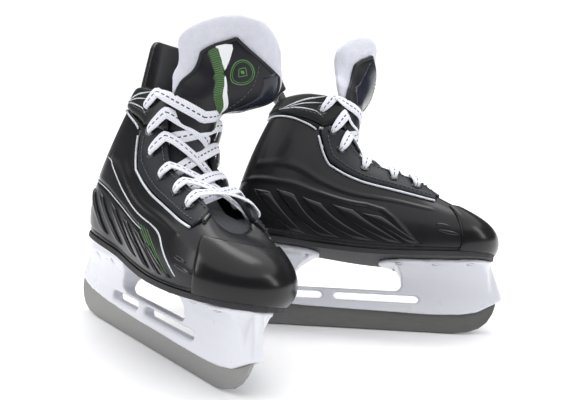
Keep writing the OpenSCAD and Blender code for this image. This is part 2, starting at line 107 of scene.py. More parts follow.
class Finish:
    """A material: one shader, with what varies over it worked out by nodes."""

    def __init__(self, name, slot, colour, roughness, metallic=0, coat=0, coat_roughness=0.05, sheen=0,
                 specular=0.5):
        self.slot = slot
        self.material = bpy.data.materials.new(name)
        self.material.use_nodes = True
        self.tree = self.material.node_tree
        self.shader = self.tree.nodes["Principled BSDF"]
        self.shader.inputs["Base Color"].default_value = (*colour, 1)
        self.shader.inputs["Roughness"].default_value = roughness
        self.shader.inputs["Metallic"].default_value = metallic
        self.shader.inputs["Coat Weight"].default_value = coat
        self.shader.inputs["Coat Roughness"].default_value = coat_roughness
        self.shader.inputs["Sheen Weight"].default_value = sheen
        self.shader.inputs["Specular IOR Level"].default_value = specular

    def node(self, kind, settings, sockets):
        made = self.tree.nodes.new(kind)
        for name, value in settings.items():
            setattr(made, name, value)
        for name, value in sockets.items():
            if isinstance(value, Value):
                value = value.socket
            if isinstance(value, bpy.types.NodeSocket):
                self.tree.links.new(value, made.inputs[name])
            else:
                made.inputs[name].default_value = value
        return made

    def place(self):
        return self.node("ShaderNodeTexCoord", {}, {}).outputs["Object"]

    def stretched(self, scale, turn=(0, 0, 0)):
        return self.node("ShaderNodeMapping", {}, {
            "Vector": self.place(), "Scale": scale, "Rotation": turn}).outputs[0]

    def along(self):
        """Metres along and across a piece that carries its own map."""
        parts = self.node("ShaderNodeSeparateXYZ", {}, {
            "Vector": self.node("ShaderNodeUVMap", {"uv_map": "flat"}, {}).outputs[0]})
        return Value(self, parts.outputs[0]), Value(self, parts.outputs[1])

    def noise(self, scale, detail=3, vector=None, rough=0.55):
        made = self.node("ShaderNodeTexNoise", {}, {
            "Vector": vector or self.place(), "Scale": scale, "Detail": detail, "Roughness": rough})
        return Value(self, made.outputs["Fac"])

    def cells(self, scale, feature="DISTANCE_TO_EDGE", vector=None):
        made = self.node("ShaderNodeTexVoronoi", {"feature": feature}, {
            "Vector": vector or self.place(), "Scale": scale})
        return Value(self, made.outputs["Distance"])

    def mixed(self, factor, first, second):
        made = self.node("ShaderNodeMix", {"data_type": "RGBA"}, {0: factor})
        for place, value in ((6, first), (7, second)):
            if isinstance(value, bpy.types.NodeSocket):
                self.tree.links.new(value, made.inputs[place])
            else:
                made.inputs[place].default_value = (*value, 1)
        return made.outputs[2]

    def coloured(self, socket):
        self.tree.links.new(socket, self.shader.inputs["Base Color"])

    def polished(self, value):
        self.tree.links.new(value.socket, self.shader.inputs["Roughness"])

    def raised(self, height, depth):
        made = self.node("ShaderNodeBump", {}, {"Strength": 1, "Distance": depth, "Height": height})
        self.tree.links.new(made.outputs[0], self.shader.inputs["Normal"])


table_top = Finish("table_top", None, (0.9, 0.9, 0.91), 0.85)
table_top.coloured(table_top.mixed(table_top.noise(40), (0.88, 0.88, 0.89), (0.92, 0.92, 0.93)))
bpy.ops.object.select_all(action="DESELECT")
bpy.ops.mesh.primitive_plane_add(size=9, location=(0, 0, 0))
table = bpy.context.object
table.name = "table"
table.data.materials.append(table_top.material)


def soft_box(name, place, aim, across, along, power):
    lamp = bpy.data.lights.new(name, "AREA")
    lamp.shape, lamp.size, lamp.size_y, lamp.energy = "RECTANGLE", across, along, power
    box = bpy.data.objects.new(name, lamp)
    scene.collection.objects.link(box)
    box.matrix_world = Matrix.Translation(place) @ (
        (Vector(place) - Vector(aim)).to_track_quat("Z", "Y").to_matrix().to_4x4())
    return box


soft_box("overhead", (0.1, 0.45, 1.4), (0, 0.05, 0.1), 1.3, 0.5, 9)
soft_box("left_side", (-1.5, -0.45, 0.8), (0, 0, 0.12), 0.35, 1.0, 6)
soft_box("right_side", (1.5, -0.3, 0.8), (0, 0, 0.12), 0.3, 1.0, 5)
sky = bpy.data.lights.new("ceiling", "SUN")
sky.energy, sky.angle = 2.55, math.radians(110)
ceiling = bpy.data.objects.new("ceiling", sky)
scene.collection.objects.link(ceiling)
ceiling.rotation_euler = (math.radians(-6), 0, 0)
world = bpy.data.worlds.new("room")
scene.world = world
world.use_nodes = True
room = world.node_tree
ways = room.nodes.new("ShaderNodeLightPath")
for light, strength in (("seen", 1.1), ("felt_light", 0.42), ("mirrored", 0.10)):
    back = room.nodes.new("ShaderNodeBackground")
    back.name = light
    back.inputs[0].default_value = (1, 1, 1, 1)
    back.inputs[1].default_value = strength
choose = room.nodes.new("ShaderNodeMixShader")
room.links.new(ways.outputs["Is Camera Ray"], choose.inputs[0])
gloss = room.nodes.new("ShaderNodeMixShader")
room.links.new(ways.outputs["Is Glossy Ray"], gloss.inputs[0])
room.links.new(room.nodes["felt_light"].outputs[0], gloss.inputs[1])
room.links.new(room.nodes["mirrored"].outputs[0], gloss.inputs[2])
room.links.new(gloss.outputs[0], choose.inputs[1])
room.links.new(room.nodes["seen"].outputs[0], choose.inputs[2])
room.links.new(choose.outputs[0], room.nodes["World Output"].inputs["Surface"])

# ---------- boot shell ----------
# Moulded black plastic shell, drawn over the last: one net of curves from toe to heel,
# from the welt up to the line where the vinyl upper is sewn on.
PLACES = {"right": ((-184.29, 30.88), -51.3, 13.5), "left": ((-64.29, 13.88), -3.3, 23)}
FEET = ("right", "left")
LAST = [
    [(243, 0), (254, 0, 85), (241, 0, 105), (193, 0, 112)],
    [(236, 22), (247, 27, 85), (232, 23, 105), (192, 9, 113.5)],
    [(217, 37), (226, 46, 84), (214, 38, 107), (187, 17, 119)],
    [(187, 42), (189, 51, 84), (183, 46, 109), (174, 21, 130)],
    [(155, 40), (154, 48, 85), (156, 44, 118), (152, 22, 138)],
    [(118, 34), (112, 42, 88), (118, 43, 124), (124, 22, 150)],
    [(85, 29), (76, 41, 92), (92, 41, 135), (109, 22, 174)],
    [(58, 30), (50, 43, 98), (66, 39, 150), (103, 25, 200)],
    [(34, 28), (27, 40, 102), (45, 31, 160), (77, 32, 205)],
    [(17, 19), (11, 27, 104), (29, 22, 165), (55, 25, 203)],
    [(11, 0), (2, 0, 108), (26, 0, 165), (43, 0, 202)],
]
shell_wall = 3.5
seam_gap = 0.006


def smooth(t):
    t = np.clip(t, 0, 1)
    return t * t * (3 - 2 * t)


def sole_height(x):
    return 65 + 11 * smooth((155 - x) / 147) + 5 * (np.maximum(0, x - 155) / 97) ** 2


NET = np.zeros((20, 4, 3))
for column in range(20):
    k, turned = (column, 1) if column <= 10 else (20 - column, -1)
    foot_of, *pulls = LAST[k]
    NET[column, 0] = (foot_of[0], turned * foot_of[1], sole_height(foot_of[0]))
    for q, p in enumerate(pulls):
        NET[column, q + 1] = (p[0], turned * p[1], p[2])


def skin(u, v):
    u, v = np.broadcast_arrays(np.asarray(u, float), np.asarray(v, float))
    i = np.floor(u).astype(int)
    t = (u - i)[..., None, None]
    a, b, c, d = (NET[(i + k) % 20] for k in (-1, 0, 1, 2))
    q = b + 0.5 * t * (c - a + t * (2 * a - 5 * b + 4 * c - d + t * (3 * (b - c) + d - a)))
    v = v[..., None]
    w = 1 - v
    p = w**3 * q[..., 0, :] + 3 * w * w * v * q[..., 1, :] + 3 * w * v * v * q[..., 2, :] + v**3 * q[..., 3, :]
    p = p.copy()
    p[..., 1] += 6 * (np.maximum(0, p[..., 0] - 110) / 140) ** 2
    return p


def unit(a):
    return a / np.maximum(1e-9, np.linalg.norm(a, axis=-1, keepdims=True))


def outward(u, v):
    u, v = np.asarray(u, float), np.asarray(v, float)
    du = skin(u + 0.01, v) - skin(u - 0.01, v)
    dv = skin(u, v + 0.004) - skin(u, v - 0.004)
    return unit(np.cross(du, dv))


def over(u, v, h):
    return skin(u, v) + outward(u, v) * np.asarray(h, float)[..., None]


def stand(points, foot):
    """A skate's own millimetres to where it stands, in metres."""
    (x, y), heading, roll = PLACES[foot]
    heading, roll = math.radians(heading), math.radians(roll)
    p = np.array(points, float)
    if foot == "left":
        p = p * (1, -1, 1)
    turn = np.array(Matrix.Rotation(heading, 3, "Z") @ Matrix.Rotation(-roll, 3, "X"))
    return (p @ turn.T + (x, y, 1.5 * math.sin(roll))) / 1000


def sewn(name, foot, points, faces, finish, flat=None, kinds=None, smooth_faces=True):
    """One finished piece from its points in a skate's own millimetres."""
    mesh = bpy.data.meshes.new(name)
    points = np.asarray(points, float).reshape(-1, 3)
    if foot == "left":
        faces = [tuple(reversed(f)) for f in faces]
    mesh.from_pydata([tuple(p) for p in stand(points, foot)], [], faces)
    finishes = finish if isinstance(finish, list) else [finish]
    for f in finishes:
        mesh.materials.append(f.material)
    if kinds is not None:
        mesh.polygons.foreach_set("material_index", np.asarray(kinds, dtype=np.int32))
    if flat is not None:
        layer = mesh.uv_layers.new(name="flat")
        corners = np.zeros(len(mesh.loops), dtype=np.int32)
        mesh.loops.foreach_get("vertex_index", corners)
        layer.data.foreach_set("uv", (np.asarray(flat, float).reshape(-1, 2)[corners] / 1000).ravel())
    mesh.polygons.foreach_set("use_smooth", [smooth_faces] * len(mesh.polygons))
    mesh.update()
    piece = bpy.data.objects.new(name, mesh)
    scene.collection.objects.link(piece)
    return piece


def facing_out(points, faces):
    """Faces turned so that the closed shape's volume is positive."""
    p = np.asarray(points, float).reshape(-1, 3)
    middle = p.mean(0)
    total = 0
    for f in faces:
        a = p[f[0]] - middle
        for i in range(1, len(f) - 1):
            total += np.dot(a, np.cross(p[f[i]] - middle, p[f[i + 1]] - middle))
    return faces if total > 0 else [tuple(reversed(f)) for f in faces]


def rings_closed(rings, looped=False):
    """Faces over rings of points, capped at both ends unless they loop."""
    n, m = len(rings), len(rings[0])
    faces = []
    for i in range(n if looped else n - 1):
        for j in range(m):
            a, b = i * m + j, i * m + (j + 1) % m
            c, d = ((i + 1) % n) * m + (j + 1) % m, ((i + 1) % n) * m + j
            faces.append((a, b, c, d))
    if not looped:
        faces.append(tuple(range(m - 1, -1, -1)))
        faces.append(tuple((n - 1) * m + j for j in range(m)))
    return facing_out(np.asarray(rings), faces)


def reading(table, u):
    return np.interp(np.abs(u), [r[0] for r in table], [r[1] for r in table])


SHELL_TOP = [[0, 1], [2.2, 1], [2.7, .73], [4, .72], [5, .74], [6, .72], [6.5, .76], [7, .81], [8, .84],
             [9, .86], [10, .87]]
SEAM = [[0, 1], [6, 1], [7, .83], [8, .84], [9, .86], [10, .87]]


def shell_top(u):
    return reading(SHELL_TOP, u)


def seam(u):
    return reading(SEAM, u)


def superellipse(count, power):
    a = np.linspace(0, 2 * math.pi, count, endpoint=False)
    c, s = np.cos(a), np.sin(a)
    r = (np.abs(c) ** power + np.abs(s) ** power) ** (-1 / power)
    return c * r, s * r


def near_half(u):
    """The same place on the foot's first side, for lines that run round the heel."""
    return u if u < 10 else 20 - u


def cushion(us, low, high, inner, outer, surface=over, crown=0.0, count=72, power=7, end=2.5):
    """A sheet of thickness inner..outer between two lines on a surface, round at every edge.
    Gives its rings and its flat map in millimetres."""
    across, through = superellipse(count, power)
    us = np.asarray(us, float)
    n = len(us)
    far = np.abs(np.linspace(-1, 1, n))
    rings, flat = [], []
    run = 0.0
    last_mid = None
    for i, u in enumerate(us):
        shrink = (1 - far[i] ** 40) ** (1 / end) if far[i] < 1 else 0.0
        lo, hi = low(u), high(u)
        t = 0.5 + 0.5 * across
        v = lo + (hi - lo) * t
        mid, half = (inner + outer) / 2, (outer - inner) / 2
        swell = crown * (1 - across**2) * (through > 0)
        h = mid + half * through * max(0.05, shrink) + swell * shrink
        ring = surface(np.full_like(v, u), v, h)
        middle = surface(np.array(u), np.array((lo + hi) / 2), np.array(outer))
        run += 0 if last_mid is None else float(np.linalg.norm(middle - last_mid))
        last_mid = middle
        wide = float(np.linalg.norm(surface(np.array(u), np.array(lo), np.array(outer))
                                    - surface(np.array(u), np.array(hi), np.array(outer))))
        rings.append(ring)
        flat.append(np.stack([np.full(count, run), wide * (t - 0.5)], -1))
    return np.array(rings), np.array(flat)


black_shell = Finish("black_shell", "shell_plastic", (0.010, 0.010, 0.012), 0.24, coat=0.10,
                     coat_roughness=0.12, specular=0.26)
grain = black_shell.noise(1500, 3)
smears = black_shell.noise(28, 4)
black_shell.coloured(black_shell.mixed(smears, (0.0075, 0.0078, 0.0095), (0.016, 0.016, 0.018)))
black_shell.polished(0.19 + smears * 0.14 + grain * 0.05)
black_shell.raised(grain + black_shell.noise(220, 2) * 0.6, 0.00006)


def in_strip(u, v, lines, wide):
    """How near a place on the net is to a line of net places, from 0 to 1, over about wide mm."""
    best = np.full(np.broadcast(u, v).shape, 1e9)
    for (ua, va), (ub, vb) in zip(lines[:-1], lines[1:]):
        ax, ay = (u - ua) * 33, (v - va) * 105
        bx, by = (ub - ua) * 33, (vb - va) * 105
        t = np.clip((ax * bx + ay * by) / (bx * bx + by * by), 0, 1)
        best = np.minimum(best, np.hypot(ax - t * bx, ay - t * by))
    return 1 - smooth(best / wide)


# Raised and sunken lines of the moulding, by foot side: line, width and height in mm
MOULDED = [
    ([(-9.3, .395), (-8.5, .4), (-6.55, .429), (-5.63, .437), (-4.61, .411)], 2.6, -0.9),
    ([(-7.6, .60), (-6.9, .62), (-5.7, .60), (-4.2, .60), (-3.1, .60)], 5, 0.7),
    ([(9.3, .40), (8.7, .417), (7.36, .437), (5.95, .475), (4.67, .487), (4.32, .459), (4.08, .381),
      (3.75, .224), (3.44, .084)], 3.2, 1.5),
    ([(8.6, .52), (7.4, .56), (6.0, .57), (4.4, .58), (3.0, .57)], 4, 0.6),
    ([(-10, .05), (-7.5, .05), (-5, .045), (-2.5, .045), (0, .045), (2.5, .045), (5, .045), (7.5, .05),
      (10, .05)], 2.2, -1.0),
]


def relief(u, v):
    h = np.zeros(np.broadcast(u, v).shape)
    for line, wide, high in MOULDED:
        h = h + high * in_strip(u, v, line, wide)
    return h


nu, nv, ni = 420, 96, 10
net_u = -10 + 20 * np.arange(nu) / nu
t_out = np.linspace(0, 1, nv)
U, T = np.meshgrid(net_u, t_out, indexing="ij")
V = T * shell_top(U)[..., :]
edge_round = 0.9 * (1 - smooth((1 - T) * 40))
outside = over(U, V, relief(U, V) * smooth(T * 30) * smooth((1 - T) * 30) - edge_round)
U2, T2 = np.meshgrid(net_u, np.linspace(1, 0, ni), indexing="ij")
inside = over(U2, T2 * shell_top(U2), -shell_wall + 0 * U2)
wall = np.concatenate([outside, inside], 1)
wall_faces = rings_closed(wall, looped=True)
for foot in FEET:
    piece = sewn(f"{foot}_shell", foot, wall, wall_faces, black_shell)
    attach(piece, "pair")
    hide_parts(f"{foot}_boot_shell")

# ---------- ribs ----------
# Slanted fins moulded on both sides of the shell under the ankle, rounder and
# glossier than the skin between them.
gloss_fin = Finish("gloss_fin", "shell_plastic", (0.011, 0.011, 0.013), 0.14, coat=0.22, coat_roughness=0.08,
                  specular=0.3)
gloss_fin.polished(0.11 + gloss_fin.noise(45, 3) * 0.09)
gloss_fin.raised(gloss_fin.noise(1200, 2), 0.00003)


def pillow(left_line, right_line, high, foot_in=0.25, rows=34, cols=14, surface=over):
    """A rounded raised patch between two lines of net places with as many points."""
    left, right = np.array(left_line, float), np.array(right_line, float)
    s = np.linspace(0, 1, rows)
    k = np.linspace(0, 1, len(left))
    a = np.stack([np.interp(s, k, left[:, 0]), np.interp(s, k, left[:, 1])], -1)
    b = np.stack([np.interp(s, k, right[:, 0]), np.interp(s, k, right[:, 1])], -1)
    c, through = superellipse(2 * cols, 3.2)
    rings = []
    for i in range(rows):
        end = (1 - abs(2 * s[i] - 1) ** 9) ** 0.5 if 0 < i < rows - 1 else 0.0
        t = 0.5 + 0.5 * c
        uv = a[i] + np.outer(t, b[i] - a[i])
        h = np.where(through > 0, high * through * end, -foot_in)
        rings.append(surface(uv[:, 0], uv[:, 1], h))
    return np.array(rings)


def joined(name, foot, parts, finish, flats=None):
    points, faces, start = [], [], 0
    maps = []
    for i, rings in enumerate(parts):
        points.append(rings.reshape(-1, 3))
        faces += [tuple(x + start for x in f) for f in rings_closed(rings)]
        if flats is not None:
            maps.append(flats[i].reshape(-1, 2))
        start += rings.shape[0] * rings.shape[1]
    return sewn(name, foot, np.concatenate(points), faces, finish,
                flat=np.concatenate(maps) if flats is not None else None)


OUTER_FINS = [((-8.35, .35), (-6.75, .11), 1.0), ((-7.45, .375), (-5.82, .12), 1.0),
              ((-6.5, .39), (-4.88, .12), 1.0), ((-5.7, .39), (-4.28, .09), 1.0),
              ((-5.0, .385), (-3.66, .09), 0.9), ((-4.35, .33), (-3.2, .1), 0.8)]
INNER_FINS = [((8.35, .36), (7.62, .36), (6.1, .075), (6.62, .075)),
              ((7.45, .385), (6.75, .39), (5.2, .09), (5.72, .085)),
              ((6.5, .40), (5.85, .405), (4.35, .09), (4.82, .09)),
              ((5.55, .425), (4.98, .42), (3.75, .085), (4.12, .088)),
              ((4.78, .40), (4.35, .39), (3.35, .1), (3.62, .086))]
for foot in FEET:
    fins = []
    for top, low, wide in OUTER_FINS:
        bend = ((top[0] + low[0]) / 2 - 0.06, (top[1] + low[1]) / 2 + 0.015)
        fins.append(pillow([low, bend, top],
                           [(low[0] + 0.30 * wide, low[1] + .005), (bend[0] + 0.52 * wide, bend[1] - .015),
                            (top[0] + 0.34 * wide, top[1] - .01)], 2.2))
    piece = joined(f"{foot}_outer_fins", foot, fins, gloss_fin)
    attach(piece, "pair")
    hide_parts(f"{foot}_outer_ribs")
    fins = [pillow([d, ((d[0] + a[0]) / 2 + .1, (d[1] + a[1]) / 2 + .02), a],
                   [c, ((c[0] + b[0]) / 2, (c[1] + b[1]) / 2), b], 2.0) for a, b, c, d in INNER_FINS]
    piece = joined(f"{foot}_inner_fins", foot, fins, gloss_fin)
    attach(piece, "pair")
    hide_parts(f"{foot}_inner_ribs")

# ---------- toe cap ----------
# A hard glossy cap bonded over the toe, rolled at its edge.
toe_gloss = Finish("toe_gloss", "toe_plastic", (0.008, 0.008, 0.009), 0.2, coat=0.15, coat_roughness=0.16,
                  specular=0.28)
toe_gloss.polished(0.19 + toe_gloss.noise(35, 4) * 0.12)
toe_gloss.raised(toe_gloss.noise(900, 3) + toe_gloss.noise(90, 2) * 1.5, 0.00005)
for foot in FEET:
    rings, flat = cushion(np.linspace(-2.32, 2.32, 90), lambda u: .015, lambda u: .80 - .02 * u * u,
                          -0.6, 1.9, count=96, power=14, end=2)
    piece = joined(f"{foot}_toe", foot, [rings], toe_gloss)
    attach(piece, "pair")
    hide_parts(f"{foot}_toe_cap")

# ---------- lace facings ----------
# Padded vinyl flaps that carry the eyelets, edged with a turned hem and sewn to the
# shell with two rows of thread.
facing_vinyl = Finish("facing_vinyl", "dark_vinyl", (0.017, 0.019, 0.023), 0.42, specular=0.28)
pores = facing_vinyl.cells(900)
folds = facing_vinyl.noise(60, 3)
facing_vinyl.coloured(facing_vinyl.mixed(folds, (0.010, 0.011, 0.015), (0.020, 0.022, 0.028)))
facing_vinyl.polished(0.34 + folds * 0.2)
facing_vinyl.raised(pores * 0.9 + folds * 0.5, 0.00012)
thread = Finish("thread", "dark_vinyl", (0.05, 0.052, 0.058), 0.6, sheen=0.3)
thread.coloured(thread.mixed(thread.noise(2500), (0.03, 0.031, 0.036), (0.09, 0.092, 0.1)))
thread.raised(thread.noise(5000, 2), 0.00005)


def stitches(line, height, long=2.5, gap=1.3, thick=0.42, surface=over):
    """Thread stitches along a line of net places."""
    line = np.array(line, float)
    k = np.linspace(0, 1, len(line))
    s = np.linspace(0, 1, 600)
    u, v = np.interp(s, k, line[:, 0]), np.interp(s, k, line[:, 1])
    p = surface(u, v, np.full_like(u, height))
    run = np.concatenate([[0], np.cumsum(np.linalg.norm(np.diff(p, axis=0), axis=1))])
    parts = []
    at = gap
    while at + long < run[-1]:
        ends = np.interp([at, at + long], run, s)
        e = np.linspace(ends[0], ends[1], 5)
        eu, ev = np.interp(e, k, line[:, 0]), np.interp(e, k, line[:, 1])
        lift = np.array([-0.25, 0.22, 0.32, 0.22, -0.25])
        c = surface(eu, ev, height + lift)
        n = unit(surface(eu, ev, height + lift + 1) - c)
        w = unit(np.cross(np.gradient(c, axis=0), n))
        a = np.linspace(0, 2 * math.pi, 6, endpoint=False)
        around = np.cos(a)[None, :, None] * w[:, None] + np.sin(a)[None, :, None] * n[:, None]
        parts.append(c[:, None] + thick * around)
        at += long + gap
    return parts


for foot in FEET:
    for side, which in ((-1, "outer"), (1, "inner")):
        rings, flat = cushion(side * np.linspace(2.42, 6.9, 110), lambda u: shell_top(u) + seam_gap,
                              lambda u: seam(u) - seam_gap, -shell_wall, 2.0, crown=0.25, count=80, power=6)
        piece = joined(f"{foot}_{which}_flap", foot, [rings], facing_vinyl)
        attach(piece, "pair")
        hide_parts(f"{foot}_{which}_facing")
        rows = stitches([(side * u, float(shell_top(u)) + .055) for u in np.linspace(2.75, 6.6, 24)], 2.5)
        rows += stitches([(side * u, .955) for u in np.linspace(2.6, 5.9, 24)], 2.35)
        rows += stitches([(side * 2.58, float(a)) for a in np.linspace(.80, .95, 5)], 2.2)
        piece = joined(f"{foot}_{which}_flap_thread", foot, rows, thread)
        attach(piece, "pair")

# ---------- collar and ankle liner ----------
# Padded vinyl collar round the ankle with a rolled top, and the brushed foam
# liner inside it.
collar_vinyl = Finish("collar_vinyl", "dark_vinyl", (0.011, 0.014, 0.013), 0.34, specular=0.32)
folds = collar_vinyl.noise(50, 3)
collar_vinyl.coloured(collar_vinyl.mixed(folds, (0.008, 0.010, 0.010), (0.018, 0.022, 0.021)))
collar_vinyl.polished(0.27 + folds * 0.16)
collar_vinyl.raised(collar_vinyl.cells(1100) * 0.8 + folds * 0.6, 0.0001)
liner_cloth = Finish("liner_cloth", "liner_fabric", (0.018, 0.018, 0.021), 0.9, sheen=0.35)
liner_cloth.coloured(liner_cloth.mixed(liner_cloth.noise(1400, 4), (0.010, 0.010, 0.012), (0.035, 0.035, 0.04)))
liner_cloth.raised(liner_cloth.noise(2200, 4), 0.0003)
for foot in FEET:
    rings, flat = cushion(np.linspace(6.1, 13.9, 180), lambda u: float(seam(near_half(u))) + seam_gap,
                          lambda u: 1.0, -4.0, 2.2, crown=0.3, count=80, power=4.5)
    piece = joined(f"{foot}_collar_pad", foot, [rings], collar_vinyl)
    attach(piece, "pair")
    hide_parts(f"{foot}_collar")
    rows = stitches([(u, float(seam(near_half(u))) + .045) for u in np.linspace(7.1, 12.9, 40)], 2.35)
    piece = joined(f"{foot}_collar_thread", foot, rows, thread)
    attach(piece, "pair")
    rings, flat = cushion(np.linspace(5.45, 14.6, 120), lambda u: .30,
                          lambda u: float(shell_top(near_half(u))) - .03, -9.0, -3.8, count=64, power=5)
    piece = joined(f"{foot}_liner", foot, [rings], liner_cloth)
    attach(piece, "pair")
    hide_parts(f"{foot}_ankle_liner")

# ---------- piping and silver lines ----------
# Fine silver cord sewn along the foot of the facings and collar, and raised silver
# and green lines printed on the shell.
silver = Finish("silver", "silver_trim", (0.62, 0.64, 0.68), 0.3, metallic=0.35, coat=0.3)
silver.coloured(silver.mixed(silver.noise(300), (0.50, 0.52, 0.56), (0.74, 0.76, 0.80)))
silver.polished(0.24 + silver.noise(500) * 0.16)
silver.raised(silver.noise(1800), 0.00005)
green = Finish("green", "silver_trim", (0.075, 0.24, 0.05), 0.35, coat=0.3)
green.coloured(green.mixed(green.noise(400), (0.045, 0.17, 0.03), (0.10, 0.30, 0.065)))
green.raised(green.noise(1800), 0.00005)


def run_of(surface, line, height, count, curved=True):
    """Even places along a line of net places, rounded through its corners."""
    line = np.array(line, float)
    if curved and len(line) > 2:
        for _ in range(3):
            q = 0.75 * line[:-1] + 0.25 * line[1:]
            r = 0.25 * line[:-1] + 0.75 * line[1:]
            line = np.concatenate([line[:1], np.stack([q, r], 1).reshape(-1, 2), line[-1:]])
    s = np.linspace(0, 1, 400)
    k = np.linspace(0, 1, len(line))
    u, v = np.interp(s, k, line[:, 0]), np.interp(s, k, line[:, 1])
    p = surface(u, v, np.full_like(u, height))
    run = np.concatenate([[0], np.cumsum(np.linalg.norm(np.diff(p, axis=0), axis=1))])
    at = np.interp(np.linspace(0, run[-1], count), run, s)
    return np.interp(at, k, line[:, 0]), np.interp(at, k, line[:, 1]), run[-1]


def ribbon(line, widths, high, sunk=0.3, surface=over, count=None, cols=5):
    """A low rounded strip laid on a surface along net places; widths at its even points, mm."""
    u, v, length = run_of(surface, line, 0, 200)
    count = count or max(12, int(length / 1.6))
    u, v, length = run_of(surface, line, 0, count)
    w = np.interp(np.linspace(0, 1, count), np.linspace(0, 1, len(widths)), widths)
    zero = np.zeros_like(u)
    p = surface(u, v, zero)
    du = (surface(u + 1e-3, v, zero) - p) / 1e-3
    dv = (surface(u, v + 1e-3, zero) - p) / 1e-3
    n = unit(np.cross(du, dv))
    across = unit(np.cross(unit(np.gradient(p, axis=0)), n))
    # how far in the net's own measures one millimetre across is
    a11, a12, a22 = (du * du).sum(-1), (du * dv).sum(-1), (dv * dv).sum(-1)
    b1, b2 = (du * across).sum(-1), (dv * across).sum(-1)
    det = a11 * a22 - a12 * a12
    su, sv = (b1 * a22 - b2 * a12) / det, (a11 * b2 - a12 * b1) / det
    c, through = superellipse(2 * cols, 2.6)
    rings, flat = [], []
    for i in range(count):
        e = 0.15 if i in (0, count - 1) else 1.0
        off = c * w[i] / 2 * (0.7 if i in (0, count - 1) else 1)
        h = np.where(through > 0, high * through * e, -sunk)
        rings.append(surface(u[i] + su[i] * off, v[i] + sv[i] * off, h))
        flat.append(np.stack([np.full(2 * cols, i / (count - 1) * length), off], -1))
    return np.array(rings), np.array(flat)


def cord_on(line, radius, height, surface=over, sides=10, curved=True, every=1.6):
    u, v, length = run_of(surface, line, height, 200, curved)
    count = max(8, int(length / every))
    u, v, length = run_of(surface, line, height, count, curved)
    h = np.full_like(u, height)
    c = surface(u, v, h)
    n = unit(surface(u, v, h + 1) - c)
    w = unit(np.cross(np.gradient(c, axis=0), n))
    a = np.linspace(0, 2 * math.pi, sides, endpoint=False)
    return c[:, None] + radius * (np.cos(a)[None, :, None] * w[:, None] + np.sin(a)[None, :, None] * n[:, None])


SILVER_OUTER = [
    ([(-4.38, .505), (-3.83, .481), (-3.4, .351), (-3.1, .259), (-2.83, .148)], (1.0, 1.5, 1.6, 1.5, .8)),
    ([(-8.2, .56), (-7.53, .571), (-7.3, .545), (-5.84, .519), (-4.38, .503)], (.7, 1.0, 1.2, 1.2, 1.2)),
    ([(-9.2, .395), (-8.5, .397), (-6.55, .429), (-5.63, .437), (-4.61, .411)], (.5, .8, .8, .8, .6)),
]
GREEN_OUTER = [[(-4.40 + d, .45), (-3.86 + d, .325), (-3.48 + d, .246), (-3.10 + d * .5, .136)]
               for d in (0, -.14, -.28, -.42)]
COLLAR_LINES = [
    ([(-8.72, .892), (-8.2, .945), (-7.58, .99)], 1.4), ([(-8.9, .888), (-7.59, .90), (-7.25, .88)], 1.2),
    ([(-8.5, .90), (-7.9, .935), (-7.45, .95)], 1.0),
]
for foot in FEET:
    cords = []
    for side in (-1, 1):
        cords.append(cord_on([(side * (2.75 + .18 * k), float(shell_top(2.75 + .18 * k)) - .018) for k in range(24)],
                             1.0, 1.0, curved=False))
        cords.append(cord_on([(side * (7.1 + .2 * k), float(shell_top(7.1 + .2 * k)) - .012) for k in range(14)],
                             0.9, 1.0, curved=False))
    piece = joined(f"{foot}_silver_piping", foot, cords, silver)
    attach(piece, "pair")
    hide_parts(f"{foot}_piping")
    lines = [ribbon(line, w, 0.5)[0] for line, w in SILVER_OUTER]
    for side in (-1, 1):
        lines += [ribbon([(u * -side, v) for u, v in line], (w * .5, w, w, w * .4), 0.5,
                         surface=lambda u, v, h: over(u, v, h + 2.35))[0] for line, w in COLLAR_LINES]
    piece = joined(f"{foot}_silver_lines", foot, lines, silver)
    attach(piece, "pair")
    piece = joined(f"{foot}_green_lines", foot, [ribbon(line, (.3, .5, .5, .3), 0.3)[0] for line in GREEN_OUTER], green)
    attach(piece, "pair")
    vents = []
    for side in (-1, 1):
        for a, b, c in (((2.94, .37), (2.80, .37), (2.56, .345)), ((2.9, .29), (2.7, .275), (2.36, .24))):
            vents.append(ribbon([(side * p, q) for p, q in (a, b, c)], (1.5, 3.4, 3.6, 1.2), 0.9)[0])
        vents.append(ribbon([(side * 2.42, .83), (side * 2.40, .9), (side * 2.38, .97)], (3.5, 4.5, 4.0), 2.4)[0])
    piece = joined(f"{foot}_toe_ridges", foot, vents, gloss_fin)
    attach(piece, "pair")

# ---------- eyelets ----------
# Black lacquered metal eyelets crimped through the facings, worn bright on the rim.
lacquer = Finish("lacquer", "eyelet_metal", (0.012, 0.012, 0.014), 0.25, metallic=0.6, coat=0.6)
worn = lacquer.noise(900, 4)
lacquer.coloured(lacquer.mixed(worn.over(0.62), (0.012, 0.012, 0.014), (0.09, 0.09, 0.095)))
lacquer.polished(0.16 + worn * 0.2)
lacquer.raised(worn, 0.00005)


def dressed(node, finish):
    """A CAD node that keeps its mesh and gets its real finish."""
    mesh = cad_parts[node].data
    mesh.materials.clear()
    mesh.materials.append(finish.material)


for foot in FEET:
    dressed(f"{foot}_eyelets", lacquer)

